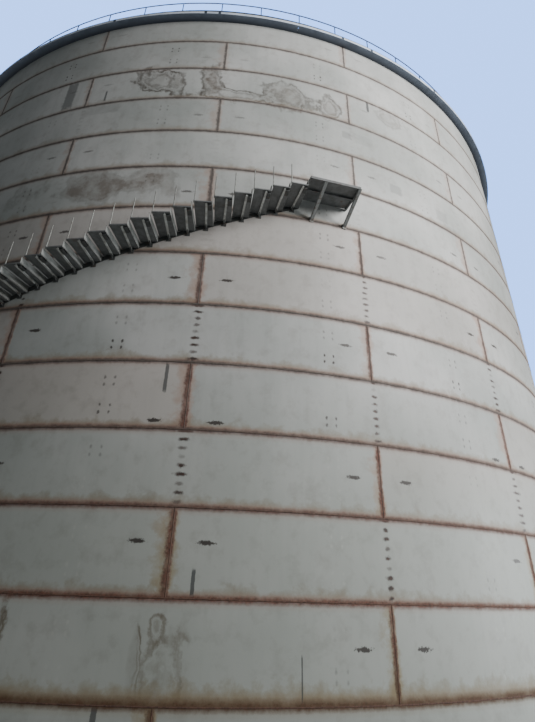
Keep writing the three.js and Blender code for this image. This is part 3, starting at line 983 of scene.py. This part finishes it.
# Risers. An upright plate welded along the back edge of every pan, with its top edge folded over.
# They are in a paler grey primer than the pans.
riser_height = 0.15
riser_fold = 0.014

# A matt primer, paler than the pans, so that each riser shows as a light band over a dark pan.
riser_paint = begin_material("pale_grey_primer_on_folded_plate")
smudge, _, riser_colour = patchy(5, 6, 0.65, 0.4, 0.7, "#9c9e9c", "#777a77")
finish(riser_colour, 0.6, smudge, 0.25, 0.004)

riser_sides = (half_depth - plate_gauge, half_depth)
riser_heights = (-tread_thickness - 0.002, riser_height)
riser = add_block("riser", riser_sides, (-weld_in, stair_width), riser_heights)
pick_all()
bpy.ops.mesh.bisect(plane_co=(0, 0, riser_height - plate_gauge), plane_no=(0, 0, 1))
pick("FACE", lambda middle, face: face.normal.x < -0.9 and middle.z > riser_height - plate_gauge)
extrude_by(-riser_fold, 0, 0)
repeat_up_stair(riser, "stair_risers", riser_paint)

# Tread brackets. Under each pan a tee stands out from the shell, set a little askew, and carries
# the pan. The tees are galvanised, and their broad undersides catch the light.
bracket_drop = 0.070
bracket_offset = 0.036
bracket_skew = 3.0
bracket_reach = 1.02
web_thickness = 0.010
flange_width = 0.056
flange_thickness = 0.008

# Zinc that has gone dull: light grey with a soft sheen, smeared with dirt. The sheen changes from
# one spangle to the next. Real spangles of 5 mm are too fine to show, and are drawn 17 mm wide.
dull_zinc = begin_material("dull_galvanised_tee")
smear, _, zinc_colour = patchy(5, 6, 0.65, 0.4, 0.7, "#d6dad8", "#9a9893")
spangle_grey = node("RGBToBW", node("TexVoronoi", place, 60, output="Color"))
spangle_sheen = node("MapRange", spangle_grey, 0, 1, 0.42, 0.62)
finish(zinc_colour, spangle_sheen, smear, 0.2, 0.003, metallic=0.1)

half_web = web_thickness / 2
web_drop = -bracket_drop + flange_thickness
tee = add_block("tee", (-half_web, half_web), (-weld_in, bracket_reach), (web_drop, -plate_gauge))
pick_facing(0, 0, -1)
extrude_by(0, 0, 0)
bpy.ops.transform.resize(value=(flange_width / web_thickness, 1, 1), center_override=(0, 0, 0))
extrude_by(0, 0, -flange_thickness)


def set_askew(piece, middle, skew):
    """Shift a piece along the shell and turn it about its foot there."""
    only(piece)
    piece.matrix_world = (
        Matrix.Translation((middle, -shell_radius, 0))
        @ Matrix.Rotation(math.radians(skew), 4, "Z")
        @ Matrix.Translation((0, shell_radius, 0))
    )
    settle()


set_askew(tee, bracket_offset, bracket_skew)
repeat_up_stair(tee, "stair_brackets", dull_zinc)

# Stringer and cleats. A flat bar climbs the shell under the treads. At each tread a pad and a
# gusset hold the bracket's foot, and a short channel waits for the outer string. Near-black primer.
foot_drop = 0.150
foot_half_width = 0.07
foot_thickness = 0.012
foot_below = 0.03
gusset_reach = 0.16
gusset_half_thickness = 0.012
end_channel_sides = (0.118, 0.212)
end_channel_reach = (0.76, 0.97)
end_channel_drop = 0.082
end_channel_hollow = 0.08
stringer_gap = 0.001
stringer_thickness = 0.012
stringer_above = 0.020
stringer_below = 0.120
stringer_steps = 16
clear_of_bottom = bottom_thickness + 0.0005

# A dark, matt primer, chipped to brown steel in flecks of about 100 mm.
black_primer = begin_material("near_black_primer_on_cut_plate")
chips, _, black_colour = patchy(10, 6, 0.7, 0.55, 0.68, "#4c4f4f", "#5f4c40")
finish(black_colour, 0.6, chips, 0.3, 0.003)

foot_sides = (-foot_half_width, foot_half_width)
foot_heights = (-foot_drop - foot_below, -tread_thickness)
foot_pad = add_block("foot_pad", foot_sides, (-weld_in, foot_thickness), foot_heights)
bevel_all(0.003)
gusset_sides = (-gusset_half_thickness, gusset_half_thickness)
gusset = add_block("gusset", gusset_sides, (-weld_in, gusset_reach), (-foot_drop, -bracket_drop))
pick("VERT", lambda middle, vertex: middle.z < -0.1 and middle.y < -shell_radius - 0.1)
bpy.ops.transform.translate(value=(0, 0, foot_drop - bracket_drop - 0.002))
foot = join([foot_pad, gusset], "foot")
set_askew(foot, bracket_offset, bracket_skew)
channel_heights = (-end_channel_drop, -tread_thickness + lip_depth)
end_channel = add_block("end_channel", end_channel_sides, end_channel_reach, channel_heights)
pick_facing(1, 0, 0)
bpy.ops.mesh.inset(thickness=plate_gauge)
extrude_by(-end_channel_hollow, 0, 0)
cleat = join([foot, end_channel], "cleat")


def cut_off(cut_place, cut_way):
    """In edit mode, cut off what lies beyond a plane, and close the cut."""
    pick_all()
    bpy.ops.mesh.bisect(plane_co=cut_place, plane_no=cut_way, clear_outer=True, use_fill=True)


flight_arc = treads_per_flight * tread_step
for flight in range(1, flight_count + 1):
    cleats = place_on_stair(cleat, "cleats", flight)
    start_turn = stair_end_turn - (flight_count - flight + 1) * flight_arc
    start_height = ((flight - 1) * treads_per_flight + 0.5) * stair_rise
    reach_span = (stringer_gap, stringer_gap + stringer_thickness)
    stringer = add_block("stringer", (-0.001, 0.001), reach_span, (-stringer_below, stringer_above))
    pick("FACE", lambda middle, face: face.normal.x > -0.9)
    bpy.ops.mesh.delete(type="FACE")
    pick_all()
    bpy.ops.mesh.delete(type="ONLY_FACE")
    only(stringer)
    stringer.rotation_euler.z = math.radians(start_turn)
    stringer.location.z = start_height
    settle()
    modify(
        stringer, "SCREW", angle=math.radians(flight_arc), steps=stringer_steps,
        render_steps=stringer_steps, screw_offset=treads_per_flight * stair_rise,
        use_smooth_shade=False,
    )
    bpy.ops.object.mode_set(mode="EDIT")
    pick_all()
    bpy.ops.mesh.remove_doubles(threshold=0.0001)
    pick("EDGE", lambda middle, edge: len(edge.link_faces) < 2)
    bpy.ops.mesh.edge_face_add()
    if flight == 1:
        cut_off((0, 0, clear_of_bottom), (0, 0, -1))
    face_outwards()
    dress(join([cleats, stringer], f"stair_stringer_{flight}"), black_primer, "stair_steel")
drop(cleat)

# Stanchions. One upright of thin pipe at each tread's lower outer corner, in a welded socket and
# left without a rail. The pipe is bare and greyed.
stanchion_height = 0.68
stanchion_radius = 0.013
socket_radius = 0.020
stanchion_reach = 1.007
stanchion_foot = -0.015
socket_heights = (-0.034, 0.045)

# Bare pipe gone grey: some metal still shows, so it catches more light than the primed plate does.
bare_pipe = begin_material("greyed_bare_pipe")
tarnish, _, pipe_colour = patchy(9, 5, 0.65, 0.42, 0.68, "#9da19e", "#6a6660")
finish(pipe_colour, 0.5, tarnish, 0.25, 0.002, metallic=0.3)


def add_pipe(name, radius, bottom, top):
    """Add an upright pipe at the lower outer corner of a tread, its top edge rounded."""
    reach = shell_radius + stanchion_reach
    made = add_round(name, pipe_sides, radius, bottom, top, reach, -half_depth)
    pick("EDGE", lambda middle, edge: middle.z > top - 0.0001)
    bpy.ops.mesh.bevel(offset=0.004, segments=1)
    return made


upright = add_pipe("upright", stanchion_radius, stanchion_foot, stanchion_height)
socket = add_pipe("socket", socket_radius, *socket_heights)
stanchion = join([upright, socket], "stanchion")
repeat_up_stair(stanchion, "stair_stanchions", bare_pipe)

# Landing. A deck plate on a welded frame of channels with one joist along its middle. It has the
# stair's dark primer.
landing_length = 1.49
landing_width = 1.03
landing_top = 12.70
landing_plate = 0.008
deck_margin = 0.05
deck_raise = 0.002
frame_inset = 0.002
channel_drop = 0.080
channel_web = 0.008
channel_flange = 0.040
joist_reach = (0.495, 0.535)
landing_turn = stair_end_turn + math.degrees(landing_length / shell_radius) / 2

half_length = landing_length / 2
deck_sides = (-half_length, half_length)
deck = add_block("deck", deck_sides, (-weld_in, landing_width), (-landing_plate, 0))
pick_facing(0, 0, 1)
bpy.ops.mesh.inset(thickness=deck_margin)
bpy.ops.mesh.inset(thickness=2 * deck_raise)
bpy.ops.transform.translate(value=(0, 0, deck_raise))


def add_channel(name, x_span, reach_span, z_span, open_side):
    """Add a bar and hollow one of its long sides out, so that it becomes a channel."""
    made = add_block(name, x_span, reach_span, z_span)
    pick_facing(*open_side)
    bpy.ops.mesh.inset(thickness=channel_web)
    depth = channel_flange - channel_web
    extrude_by(*(open_side * -depth))
    return made


right, outward = Vector((1, 0, 0)), Vector((0, -1, 0))
under_deck = (-channel_drop, -landing_plate + 0.0005)
whole_width = (-weld_in, landing_width - frame_inset)
whole_length = (-half_length + frame_inset, half_length - frame_inset)
left_sides = (-half_length, -half_length + channel_flange)
right_sides = (half_length - channel_flange, half_length)
outer_reach = (landing_width - channel_flange, landing_width)
landing_parts = [
    deck,
    add_channel("channel", left_sides, whole_width, under_deck, right),
    add_channel("channel", right_sides, whole_width, under_deck, -right),
    add_channel("channel", whole_length, outer_reach, under_deck, -outward),
    add_channel("channel", whole_length, joist_reach, under_deck, outward),
]
landing = join(landing_parts, "landing_deck_and_frame")
landing.rotation_euler.z = math.radians(landing_turn)
landing.location.z = landing_top
settle()
dress(landing, tread_paint, "stair_steel", "landing_deck")

# Knee braces. Two channels that run from cleats on the shell, down at a level seam, up to the
# landing's outer edge. The primer is thin and rust shows through near the feet.
brace_width = 0.090
brace_depth = 0.070
brace_foot_height = 12.03
brace_reach = 0.975
brace_skew = 4.0
brace_hollow = 0.055
brace_spare = 0.3
brace_pad_half = (0.06, 0.085)
brace_pad_thickness = 0.010
brace_middles = {"left": -0.36, "right": 0.65}

# Thin primer on rolled steel: matt mid grey, with brown flakes of about 120 mm where it has worn
# through, a little more of them low down.
brace_primer = begin_material("thin_grey_primer_on_rolled_channel")
flake = node("TexNoise", place, 8, 6, 0.7)
low_share = node("MapRange", node("SeparateXYZ", place, output="Z"), 12.6, 12, 0, 0.05)
flake_mask = node("MapRange", node("ADD", flake, low_share), 0.52, 0.70)
finish(node("Mix RGBA", flake_mask, "#8f9393", "#6b5f55"), 0.65, flake, 0.3, 0.003)

brace_top = landing_top - channel_drop - 0.001
rise_of_brace = brace_top - brace_foot_height
brace_length = math.hypot(brace_reach, rise_of_brace) + brace_spare
brace_slope = math.atan2(rise_of_brace, brace_reach)
for side, brace_middle in brace_middles.items():
    only()
    bpy.ops.mesh.primitive_cube_add(
        size=1, scale=(brace_width, brace_length, brace_depth), rotation=(-brace_slope, 0, 0),
        location=(0, -shell_radius - brace_reach / 2, (brace_foot_height + brace_top) / 2),
    )
    channel = begin("channel")
    pick("FACE", lambda middle, face: face.normal.z > 0.3 and face.normal.y > 0.1)
    bpy.ops.mesh.inset(thickness=channel_web)
    hollow_way = Vector((0, -math.sin(brace_slope), -math.cos(brace_slope)))
    bpy.ops.transform.translate(value=hollow_way * brace_hollow)
    cut_off((0, 0, brace_top), (0, 0, 1))
    cut_off((0, -shell_radius + weld_in, 0), (0, 1, 0))
    pad_sides = (-brace_pad_half[0], brace_pad_half[0])
    pad_heights = (brace_foot_height - brace_pad_half[1], brace_foot_height + brace_pad_half[1])
    pad = add_block("pad", pad_sides, (-weld_in, brace_pad_thickness), pad_heights)
    bevel_all(0.004)
    brace = join([channel, pad], f"landing_knee_brace_{side}")
    set_askew(brace, brace_middle, brace_skew)
    brace.rotation_euler.z = math.radians(landing_turn)
    settle()
    dress(brace, brace_primer, "brace_steel", f"landing_brace_{side}")

only()
